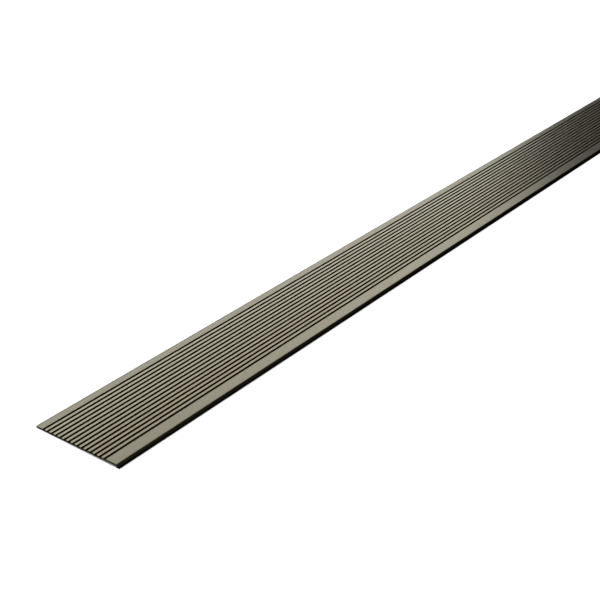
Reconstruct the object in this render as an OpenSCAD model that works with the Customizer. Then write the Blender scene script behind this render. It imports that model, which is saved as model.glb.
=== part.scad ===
// Ribbed edge trim: one extruded aluminium strip with a grooved deck and a turned-down nose.
// The strip runs along Y with its near end at -Y, its square heel at -X and its nose at +X.
// The origin is on the floor, under the middle of the strip as it lies.

/* [Strip] */
// Width across the strip, from heel edge to nose
strip_w = 80; // [60:1:120]
// Length of the stock
strip_l = 1000; // [300:10:3000]
// Thickness of the sheet, from underside to deck
sheet_t = 1.5; // [1.2:0.05:2.5]
// Radius on the heel's edges and on the nose's foot
edge_r = 0.15; // [0.1:0.05:0.4]

/* [Grooves] */
// Distance from one groove to the next
groove_pitch = 4.25; // [3:0.05:6]
// Width of each groove between its walls
groove_w = 2; // [1:0.05:2.4]
// Depth of each groove below the deck
groove_depth = 0.8; // [0.6:0.05:0.95]
// Radius where a groove's wall meets the deck
groove_rim_r = 0.15; // [0.05:0.05:0.25]
// Radius where a groove's wall meets its floor
groove_floor_r = 0.25; // [0.05:0.05:0.35]
// Plain band at the heel, measured to the middle of the first groove
heel_band_w = 7.5; // [4:0.5:15]
// Plain band at the nose, measured to the middle of the last groove at the least
nose_band_w = 13; // [7:0.5:20]

/* [Nose] */
// Width of the lip that turns down under the nose
lip_w = 2.6; // [2:0.1:4]
// How far the lip reaches below the sheet
lip_drop = 1.2; // [0.8:0.05:3]
// Radius of the nose, which turns from the deck down to the foot
nose_r = 2.5; // [1:0.05:3]
// Fillet in the corner between lip and sheet
lip_fillet_r = 0.3; // [0.1:0.05:0.5]

/* [Hidden] */
$fn = 48;
// How far a cut runs past the face that it opens
cut_over = 0.1;
// Grooves that fit between the two plain bands
groove_count = floor((strip_w - heel_band_w - nose_band_w) / groove_pitch + cut_over / groove_pitch) + 1;
// Least flat on the front face, between the nose's round and the foot's
front_flat = 0.05;
// The nose's round, limited by the height of the front face above that flat
nose_round_r = min(nose_r, sheet_t + lip_drop - edge_r - front_flat);
// The loose strip lies on its heel and on the lip's inner edge, so its deck leans a little
lie_angle = atan(lip_drop / (strip_w - lip_w));
lie_w = (strip_w - 2 * edge_r) * cos(lie_angle) + (lip_drop - sheet_t + 2 * edge_r) * sin(lie_angle);

// What a square corner has beyond its round: taken off an outer corner, put into an inner one
module corner(r) {
    difference() {
        translate([-cut_over, -cut_over]) square(r + cut_over);
        translate([r, r]) circle(r);
    }
}

// Sheet and lip, with every corner still square
module square_outline() {
    square([strip_w, sheet_t]);
    translate([strip_w - lip_w, -lip_drop]) square([lip_w, lip_drop + cut_over]);
}

// One groove, with the deck at height zero
module groove() {
    difference() {
        translate([-groove_w / 2, -groove_depth]) square([groove_w, groove_depth + cut_over]);
        translate([-groove_w / 2, -groove_depth]) corner(groove_floor_r);
        translate([groove_w / 2, -groove_depth]) rotate(90) corner(groove_floor_r);
    }
    translate([-groove_w / 2, 0]) rotate(180) corner(groove_rim_r);
    translate([groove_w / 2, 0]) rotate(270) corner(groove_rim_r);
}

// The section across the strip, level, with the heel's lower corner at the origin
module section() {
    difference() {
        union() {
            square_outline();
            translate([strip_w - lip_w, 0]) rotate(180) corner(lip_fillet_r);
        }
        corner(edge_r);
        translate([0, sheet_t]) rotate(270) corner(edge_r);
        translate([strip_w - lip_w, -lip_drop]) corner(edge_r);
        translate([strip_w, -lip_drop]) rotate(90) corner(edge_r);
        translate([strip_w, sheet_t]) rotate(180) corner(nose_round_r);
        for (i = [0:groove_count - 1])
            translate([heel_band_w + i * groove_pitch, sheet_t]) groove();
    }
}

// The whole strip as it lies on the floor, turned about the centre of the heel's lower round
module trim_profile() {
    color("#9a9685")
        translate([-lie_w / 2, strip_l / 2, edge_r])
            rotate([90, 0, 0])
                linear_extrude(strip_l)
                    rotate(lie_angle) translate([-edge_r, -edge_r]) section();
}

trim_profile();
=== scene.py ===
import math

import bmesh
import bpy
from mathutils import Matrix, Vector


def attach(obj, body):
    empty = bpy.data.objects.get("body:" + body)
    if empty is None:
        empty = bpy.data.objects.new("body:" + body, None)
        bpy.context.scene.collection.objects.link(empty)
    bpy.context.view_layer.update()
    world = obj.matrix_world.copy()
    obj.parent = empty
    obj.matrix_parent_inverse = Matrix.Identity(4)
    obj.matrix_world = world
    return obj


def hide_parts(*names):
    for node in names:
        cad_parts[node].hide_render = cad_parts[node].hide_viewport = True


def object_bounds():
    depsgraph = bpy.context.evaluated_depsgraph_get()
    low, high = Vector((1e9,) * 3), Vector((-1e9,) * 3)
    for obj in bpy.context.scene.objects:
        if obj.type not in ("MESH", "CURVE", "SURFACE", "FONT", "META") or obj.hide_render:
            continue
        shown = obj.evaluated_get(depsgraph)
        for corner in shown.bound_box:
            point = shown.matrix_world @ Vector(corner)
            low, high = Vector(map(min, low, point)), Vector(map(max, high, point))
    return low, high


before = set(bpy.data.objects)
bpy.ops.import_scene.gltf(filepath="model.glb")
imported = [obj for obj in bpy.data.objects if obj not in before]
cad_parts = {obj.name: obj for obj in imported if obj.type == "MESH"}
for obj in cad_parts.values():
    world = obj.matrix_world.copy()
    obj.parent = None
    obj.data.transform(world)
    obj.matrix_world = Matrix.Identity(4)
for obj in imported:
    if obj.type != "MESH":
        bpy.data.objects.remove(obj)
cad_low, cad_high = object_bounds()


# The strip: one length of aluminium pressed hot through a single die, so the deck, its grooves, the
# rounded nose and the lip under it are one section that runs unchanged from end to end. It is etched
# matt, anodised bronze-grey, sawn to length, and lies loose on its heel and on its lip.
# Lengths are in metres, but for the camera's lens and sensor in millimetres, and angles in degrees.
STRIP_W = 0.080
STRIP_L = cad_high.y - cad_low.y
SHEET_T = 0.0015
EDGE_R = 0.00015
GROOVE_PITCH = 0.00425
GROOVE_W = 0.0020
GROOVE_DEPTH = 0.0008
GROOVE_RIM_R = 0.00015
GROOVE_FLOOR_R = 0.00025
HEEL_BAND_W = 0.0075
GROOVE_COUNT = 15
LIP_W = 0.0026
LIP_DROP = 0.0012
NOSE_R = 0.0025
LIP_FILLET_R = 0.0003
SMALL_ROUND_STEPS = 5
NOSE_STEPS = 20
# Both sawn ends have their edges broken by less than the smallest outer round, so that the end face
# keeps its outline.
DEBURR = 0.0001
# Faces that meet at more than this angle keep a sharp edge between them.
SHARP_OVER = 32.0
# The strip's two surfaces, by their place in its list of materials.
FILM = 0
SAWN = 1


def arc(centre_x, centre_z, radius, start, end, steps=SMALL_ROUND_STEPS):
    """Points of a round corner, from one angle to another in degrees."""
    turns = [math.radians(start + (end - start) * i / steps) for i in range(steps + 1)]
    return [(centre_x + radius * math.cos(t), centre_z + radius * math.sin(t)) for t in turns]


def groove_outline(middle):
    """The deck's dip at one groove: rim, wall, floor, wall and rim, from heel side to nose side."""
    half, rim, fillet = GROOVE_W / 2, GROOVE_RIM_R, GROOVE_FLOOR_R
    floor = SHEET_T - GROOVE_DEPTH
    return (
        arc(middle - half - rim, SHEET_T - rim, rim, 90, 0)
        + arc(middle - half + fillet, floor + fillet, fillet, 180, 270)
        + arc(middle + half - fillet, floor + fillet, fillet, 270, 360)
        + arc(middle + half + rim, SHEET_T - rim, rim, 180, 90)
    )


def strip_section():
    """The level section, heel at x = 0 and underside at z = 0, in two runs: its outside, from the heel
    over the deck and the nose to the foot, and its underside, from the foot back to the heel."""
    foot_z = EDGE_R - LIP_DROP
    lip_x = STRIP_W - LIP_W
    outside = arc(EDGE_R, SHEET_T - EDGE_R, EDGE_R, 180, 90)
    for i in range(GROOVE_COUNT):
        outside += groove_outline(HEEL_BAND_W + i * GROOVE_PITCH)
    outside += arc(STRIP_W - NOSE_R, SHEET_T - NOSE_R, NOSE_R, 90, 0, NOSE_STEPS)
    outside += arc(STRIP_W - EDGE_R, foot_z, EDGE_R, 0, -90)
    underside = arc(lip_x + EDGE_R, foot_z, EDGE_R, 270, 180)
    underside += arc(lip_x - LIP_FILLET_R, -LIP_FILLET_R, LIP_FILLET_R, 0, 90)
    underside += arc(EDGE_R, EDGE_R, EDGE_R, 270, 180)
    return outside, underside


def as_it_lies(points):
    """Turns the level section on to its heel and lip, and puts it over the CAD strip's box."""
    lean = Matrix.Rotation(math.atan(LIP_DROP / (STRIP_W - LIP_W)), 2)
    turned = [lean @ Vector((x - EDGE_R, z - EDGE_R)) for x, z in points]
    low_x = min(p.x for p in turned)
    return [(p.x - low_x + cad_low.x, p.y + EDGE_R) for p in turned]


def inset(points, distance):
    """The outline moved inwards by a distance, for the broken edge at a sawn end."""
    moved = []
    for i, (x, z) in enumerate(points):
        before, after = Vector(points[i - 1]), Vector(points[(i + 1) % len(points)])
        along = (after - before).normalized()
        moved.append((x + along.y * distance, z - along.x * distance))
    return moved


def strip_mesh(outside, underside):
    """Rings of the section along Y, closed by a flat sawn face at each end. The first and the last run
    between two rings are the broken edges, and the long run between them is the strip."""
    outline = as_it_lies(outside + underside)
    ends = inset(outline, DEBURR)
    half = STRIP_L / 2
    stations = [(-half, ends), (-half + DEBURR, outline), (half - DEBURR, outline), (half, ends)]
    work = bmesh.new()
    rings = [[work.verts.new((x, y, z)) for x, z in ring] for y, ring in stations]
    for near, far, surface in zip(rings, rings[1:], (SAWN, FILM, SAWN)):
        for i in range(len(near)):
            j = (i + 1) % len(near)
            work.faces.new((near[i], near[j], far[j], far[i])).material_index = surface
    for end in (rings[0][::-1], rings[-1]):
        work.faces.new(end).material_index = SAWN
    bmesh.ops.recalc_face_normals(work, faces=work.faces)
    mesh = bpy.data.meshes.new("ribbed_strip")
    work.to_mesh(mesh)
    work.free()
    # How far each point lies below the deck, which places the painted shade. The underside counts as
    # none, and keeps the plain film.
    below_deck = mesh.attributes.new("below_deck", "FLOAT", "POINT")
    depths = [SHEET_T - z for x, z in outside] + [0.0] * len(underside)
    below_deck.data.foreach_set("value", depths * len(stations))
    mesh.polygons.foreach_set("use_smooth", [True] * len(mesh.polygons))
    mesh.set_sharp_from_angle(angle=math.radians(SHARP_OVER))
    return mesh


def linear(hex_colour):
    """sRGB hex to the linear colour that a shader socket takes, by the sRGB curve."""
    channels = [int(hex_colour[i:i + 2], 16) / 255 for i in (1, 3, 5)]
    return [c / 12.92 if c <= 0.04045 else ((c + 0.055) / 1.055) ** 2.4 for c in channels] + [1.0]


def add_node(tree, kind, settings=None, values=None, links=None):
    """Adds one node: settings are its own options, values and links go to its input sockets, by name
    or by number."""
    node = tree.nodes.new(kind)
    for name, value in (settings or {}).items():
        setattr(node, name, value)
    for name, value in (values or {}).items():
        node.inputs[name].default_value = value
    for name, source in (links or {}).items():
        tree.links.new(source, node.inputs[name])
    return node


# Anodised aluminium, etched matt before it was anodised: light spreads into a satin sheen, broken by
# the etch's fine grain and by the lines that the die drew along the strip. The real grain and lines
# are too fine to show at the photo's distance, so both are drawn coarser.
FILM_ROUGHNESS = 0.31
FILM_ROUGHNESS_SPREAD = 0.04
GRAIN_SIZE = 0.0007
GRAIN_SPREAD = 0.45
GRAIN_DETAIL = 1.0
DIE_LINE_WIDTH = 0.0011
DIE_LINE_STRETCH = 0.02
DIE_LINE_HEIGHT = 0.000001
DIE_LINE_DETAIL = 3.0
DIE_LINE_FINE_SHARE = 0.6
# The film's colours, by their share of the width from heel to nose: the ribs are a touch lighter than
# the plain bands, and both long edges are darker, which is painted shade.
FILM_AND_EDGE_SHADE_COLOURS = {0.0: "#34312a", 0.020: "#a09c89", 0.070: "#a09c89", 0.095: "#b5b29c",
                0.820: "#b2ac93", 0.850: "#a8a38f", 0.969: "#a8a38f", 0.981: "#5a5648"}
# Below the deck, in the grooves and on both long edges, the colour is painted shade, dark brown to
# black, and the sheen there is tinted with it, so that no white sheen shows at a glancing angle.
PAINTED_SHADE_COLOURS = {0.950: "#2e2200", 0.968: "#48432f", 0.985: "#353024", 0.998: "#040303"}
DARK_AT_DEPTH = 0.00006
GLANCE_COLOUR = "#ffffff"
# A Mix node's colour sockets go by number, because its number sockets have the same names.
MIX_FROM = 6
MIX_TO = 7
MIX_RESULT = 2


def anodised_aluminium():
    material = bpy.data.materials.new("anodised_aluminium")
    material.use_nodes = True
    tree = material.node_tree
    tree.nodes.clear()
    place = add_node(tree, "ShaderNodeTexCoord").outputs["Object"]
    drawn_out = add_node(tree, "ShaderNodeMapping", values={"Scale": (1.0, DIE_LINE_STRETCH, 1.0)},
                         links={"Vector": place})
    die_lines = add_node(tree, "ShaderNodeTexNoise",
                         values={"Scale": 1 / DIE_LINE_WIDTH, "Detail": DIE_LINE_DETAIL,
                                 "Roughness": DIE_LINE_FINE_SHARE},
                         links={"Vector": drawn_out.outputs["Vector"]})
    across = add_node(tree, "ShaderNodeSeparateXYZ", links={"Vector": place})
    share = add_node(tree, "ShaderNodeMapRange",
                     values={"From Min": -STRIP_W / 2, "From Max": STRIP_W / 2},
                     links={"Value": across.outputs["X"]})
    tones = []
    for colours in (FILM_AND_EDGE_SHADE_COLOURS, PAINTED_SHADE_COLOURS):
        ramp = add_node(tree, "ShaderNodeValToRGB", links={"Fac": share.outputs["Result"]})
        stops = ramp.color_ramp.elements
        while len(stops) < len(colours):
            stops.new(1.0)
        for stop, (across_share, colour) in zip(stops, colours.items()):
            stop.position = across_share
            stop.color = linear(colour)
        tones.append(ramp.outputs["Color"])
    deck_tone, painted_shade_tone = tones
    depth = add_node(tree, "ShaderNodeAttribute", settings={"attribute_name": "below_deck"})
    dark = add_node(tree, "ShaderNodeMapRange", values={"From Max": DARK_AT_DEPTH},
                    links={"Value": depth.outputs["Fac"]}).outputs["Result"]
    # The film's colour, with the painted shade laid over it below the deck.
    film_and_painted_shade = add_node(tree, "ShaderNodeMix", settings={"data_type": "RGBA"},
                    links={"Factor": dark, MIX_FROM: deck_tone, MIX_TO: painted_shade_tone})
    glance = add_node(tree, "ShaderNodeMix", settings={"data_type": "RGBA"},
                      values={MIX_FROM: linear(GLANCE_COLOUR)},
                      links={"Factor": dark, MIX_TO: painted_shade_tone})
    grain = add_node(tree, "ShaderNodeTexNoise",
                     values={"Scale": 1 / GRAIN_SIZE, "Detail": GRAIN_DETAIL}, links={"Vector": place})
    fleck = add_node(tree, "ShaderNodeMapRange",
                     values={"To Min": 1 - GRAIN_SPREAD, "To Max": 1 + GRAIN_SPREAD},
                     links={"Value": grain.outputs["Fac"]})
    grainy = add_node(tree, "ShaderNodeHueSaturation",
                      links={"Value": fleck.outputs["Result"], "Color": film_and_painted_shade.outputs[MIX_RESULT]})
    rough = add_node(tree, "ShaderNodeMapRange",
                     values={"To Min": FILM_ROUGHNESS - FILM_ROUGHNESS_SPREAD,
                             "To Max": FILM_ROUGHNESS + FILM_ROUGHNESS_SPREAD},
                     links={"Value": die_lines.outputs["Fac"]})
    relief = add_node(tree, "ShaderNodeBump", values={"Distance": DIE_LINE_HEIGHT},
                      links={"Height": die_lines.outputs["Fac"]})
    metal = add_node(tree, "ShaderNodeBsdfPrincipled", values={"Metallic": 1.0},
                     links={"Base Color": grainy.outputs["Color"],
                            "Specular Tint": glance.outputs[MIX_RESULT],
                            "Roughness": rough.outputs["Result"],
                            "Normal": relief.outputs["Normal"]})
    add_node(tree, "ShaderNodeOutputMaterial", links={"Surface": metal.outputs["BSDF"]})
    return material


# Sawn aluminium: the blade leaves a dull cut with fine marks through the sheet. The end's almost black
# colour is painted shade.
SAWN_END_SHADE_COLOUR = "#110f0d"
SAWN_ROUGHNESS = 0.55
SAWN_ROUGHNESS_SPREAD = 0.08
SAW_MARK_WIDTH = 0.0004
SAW_MARK_STRETCH = 0.15
SAW_MARK_HEIGHT = 0.00001


def sawn_end_painted_shade():
    material = bpy.data.materials.new("sawn_end_painted_shade")
    material.use_nodes = True
    tree = material.node_tree
    tree.nodes.clear()
    place = add_node(tree, "ShaderNodeTexCoord").outputs["Object"]
    drawn_out = add_node(tree, "ShaderNodeMapping", values={"Scale": (1.0, 1.0, SAW_MARK_STRETCH)},
                         links={"Vector": place})
    saw_marks = add_node(tree, "ShaderNodeTexNoise", values={"Scale": 1 / SAW_MARK_WIDTH},
                         links={"Vector": drawn_out.outputs["Vector"]})
    rough = add_node(tree, "ShaderNodeMapRange",
                     values={"To Min": SAWN_ROUGHNESS - SAWN_ROUGHNESS_SPREAD,
                             "To Max": SAWN_ROUGHNESS + SAWN_ROUGHNESS_SPREAD},
                     links={"Value": saw_marks.outputs["Fac"]})
    relief = add_node(tree, "ShaderNodeBump", values={"Distance": SAW_MARK_HEIGHT},
                      links={"Height": saw_marks.outputs["Fac"]})
    metal = add_node(tree, "ShaderNodeBsdfPrincipled",
                     values={"Base Color": linear(SAWN_END_SHADE_COLOUR), "Metallic": 1.0},
                     links={"Roughness": rough.outputs["Result"], "Normal": relief.outputs["Normal"]})
    add_node(tree, "ShaderNodeOutputMaterial", links={"Surface": metal.outputs["BSDF"]})
    return material


strip = bpy.data.objects.new("ribbed_strip", strip_mesh(*strip_section()))
bpy.context.scene.collection.objects.link(strip)
strip.data.materials.append(anodised_aluminium())
strip.data.materials.append(sawn_end_painted_shade())
# The wide flats keep their own normals beside the small rounds.
flat_normals = strip.modifiers.new("flat_normals", "WEIGHTED_NORMAL")
flat_normals.keep_sharp = True
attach(strip, "root")
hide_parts("trim_profile")


# The floor: a pale matt studio floor. It is level round the strip and climbs a little far out, so that
# a low view meets no horizon.
FLOOR_LEVEL_HALF = 20.0
FLOOR_HALF = 400.0
FLOOR_EDGE_Z = 40.0
FLOOR_COLOUR = "#f4f4f4"
FLOOR_ROUGHNESS = 1.0
FLOOR_GLOSS = 0.0

corners = [(-1, -1), (1, -1), (1, 1), (-1, 1)]
inner = [(x * FLOOR_LEVEL_HALF, y * FLOOR_LEVEL_HALF, 0.0) for x, y in corners]
outer = [(x * FLOOR_HALF, y * FLOOR_HALF, FLOOR_EDGE_Z) for x, y in corners]
level_part = (0, 1, 2, 3)
slopes = [(0, 4, 5, 1), (1, 5, 6, 2), (2, 6, 7, 3), (3, 7, 4, 0)]
floor_mesh = bpy.data.meshes.new("studio_floor")
floor_mesh.from_pydata(inner + outer, [], [level_part] + slopes)
floor = bpy.data.objects.new("studio_floor", floor_mesh)
bpy.context.scene.collection.objects.link(floor)
pale = bpy.data.materials.new("matt_white_floor")
pale.use_nodes = True
paint = pale.node_tree.nodes["Principled BSDF"]
paint.inputs["Base Color"].default_value = linear(FLOOR_COLOUR)
paint.inputs["Roughness"].default_value = FLOOR_ROUGHNESS
paint.inputs["Specular IOR Level"].default_value = FLOOR_GLOSS
floor_mesh.materials.append(pale)

# The light panels: two large upright softboxes, which the deck mirrors. The key stands on the heel's
# side and gives the deck its sheen in the main view. The dimmer fill reaches from beyond the far end
# round to the nose's side.
# Their places are angles seen from the strip's middle: the turn from +Y towards -X, the spread to the
# right and to the left of that, and the heights of the lower and the upper edge.
PANEL_AWAY = 3.0
KEY_TURN = 55.0
KEY_SPREAD = (26.4, 27.0)
KEY_HEIGHTS = (13.0, 31.5)
KEY_RADIANCE = 1.33
FILL_TURN = -42.0
FILL_SPREAD = (43.0, 43.0)
FILL_HEIGHTS = (0.0, 32.0)
FILL_RADIANCE = 0.42


def add_panel(name, turn, spread, heights, radiance):
    """An upright panel that faces the strip, unseen by the camera but mirrored by the metal."""
    right, left = [PANEL_AWAY * math.tan(math.radians(angle)) for angle in (-spread[0], spread[1])]
    bottom, top = [PANEL_AWAY * math.tan(math.radians(angle)) for angle in heights]
    data = bpy.data.lights.new(name, "AREA")
    data.shape = "RECTANGLE"
    data.size = left - right
    data.size_y = top - bottom
    # The power at which a mirror shows the panel at this radiance.
    data.energy = radiance * math.pi * data.size * data.size_y
    panel = bpy.data.objects.new(name, data)
    outward = Matrix.Rotation(math.radians(turn), 3, "Z") @ Vector((0, 1, 0))
    leftward = Vector((-outward.y, outward.x, 0))
    upward = Vector((0, 0, 1))
    panel.location = outward * PANEL_AWAY + leftward * (left + right) / 2 + upward * (top + bottom) / 2
    panel.rotation_euler = outward.to_track_quat("Z", "Y").to_euler()
    panel.visible_camera = False
    bpy.context.scene.collection.objects.link(panel)


add_panel("key_panel", KEY_TURN, KEY_SPREAD, KEY_HEIGHTS, KEY_RADIANCE)
add_panel("fill_panel", FILL_TURN, FILL_SPREAD, FILL_HEIGHTS, FILL_RADIANCE)

# The floor light: a sun for the floor alone, which keeps it white and gives the strip its shadow.
SUN_FROM = Vector((-0.8, 0.0, 1.6))
SUN_STRENGTH = 2.3
SUN_SPREAD = 8.0

sun_data = bpy.data.lights.new("floor_light", "SUN")
sun_data.energy = SUN_STRENGTH
sun_data.angle = math.radians(SUN_SPREAD)
sun = bpy.data.objects.new("floor_light", sun_data)
sun.rotation_euler = (-SUN_FROM).to_track_quat("-Z", "Y").to_euler()
bpy.context.scene.collection.objects.link(sun)
lit_by_sun = bpy.data.collections.new("lit_by_floor_light")
lit_by_sun.objects.link(floor)
sun.light_linking.receiver_collection = lit_by_sun

# The studio round it: grey, and ever dimmer towards the far end, as the deck mirrors it in the photo.
STUDIO_COLOUR = "#ffffff"
STUDIO_LEVEL = 0.7
DIM_LEVEL = 0.02
DIM_FROM = 0.0
DIM_TO = 0.95

world = bpy.data.worlds.new("studio")
bpy.context.scene.world = world
world.use_nodes = True
surround = world.node_tree
direction = add_node(surround, "ShaderNodeTexCoord").outputs["Generated"]
along = add_node(surround, "ShaderNodeSeparateXYZ", links={"Vector": direction}).outputs["Y"]
level = add_node(surround, "ShaderNodeMapRange", settings={"interpolation_type": "SMOOTHSTEP"},
                 values={"From Min": DIM_FROM, "From Max": DIM_TO,
                         "To Min": STUDIO_LEVEL, "To Max": DIM_LEVEL},
                 links={"Value": along})
background = surround.nodes["Background"]
background.inputs["Color"].default_value = linear(STUDIO_COLOUR)
surround.links.new(level.outputs["Result"], background.inputs["Strength"])

# The camera: worked out from the grooves' vanishing point and the strip's near end. Its yaw turns from
# +Y towards -X, and its roll is about its own line of sight.
CAMERA_PLACE = (0.5009, -0.8524, 0.4021)
CAMERA_YAW = 40.914
CAMERA_DOWN = 27.261
CAMERA_ROLL = -3.502
CAMERA_LENS = 67.17
SENSOR_WIDTH = 36.0
NEAREST_SEEN = 0.01
FURTHEST_SEEN = 1000.0

camera_data = bpy.data.cameras.new("camera")
camera_data.lens = CAMERA_LENS
camera_data.sensor_width = SENSOR_WIDTH
camera_data.clip_start = NEAREST_SEEN
camera_data.clip_end = FURTHEST_SEEN
camera = bpy.data.objects.new("camera", camera_data)
turn = (Matrix.Rotation(math.radians(CAMERA_YAW), 4, "Z")
        @ Matrix.Rotation(math.radians(90 - CAMERA_DOWN), 4, "X")
        @ Matrix.Rotation(math.radians(CAMERA_ROLL), 4, "Z"))
camera.matrix_world = Matrix.Translation(CAMERA_PLACE) @ turn
bpy.context.scene.collection.objects.link(camera)
bpy.context.scene.camera = camera
bpy.context.scene.view_settings.view_transform = "Standard"
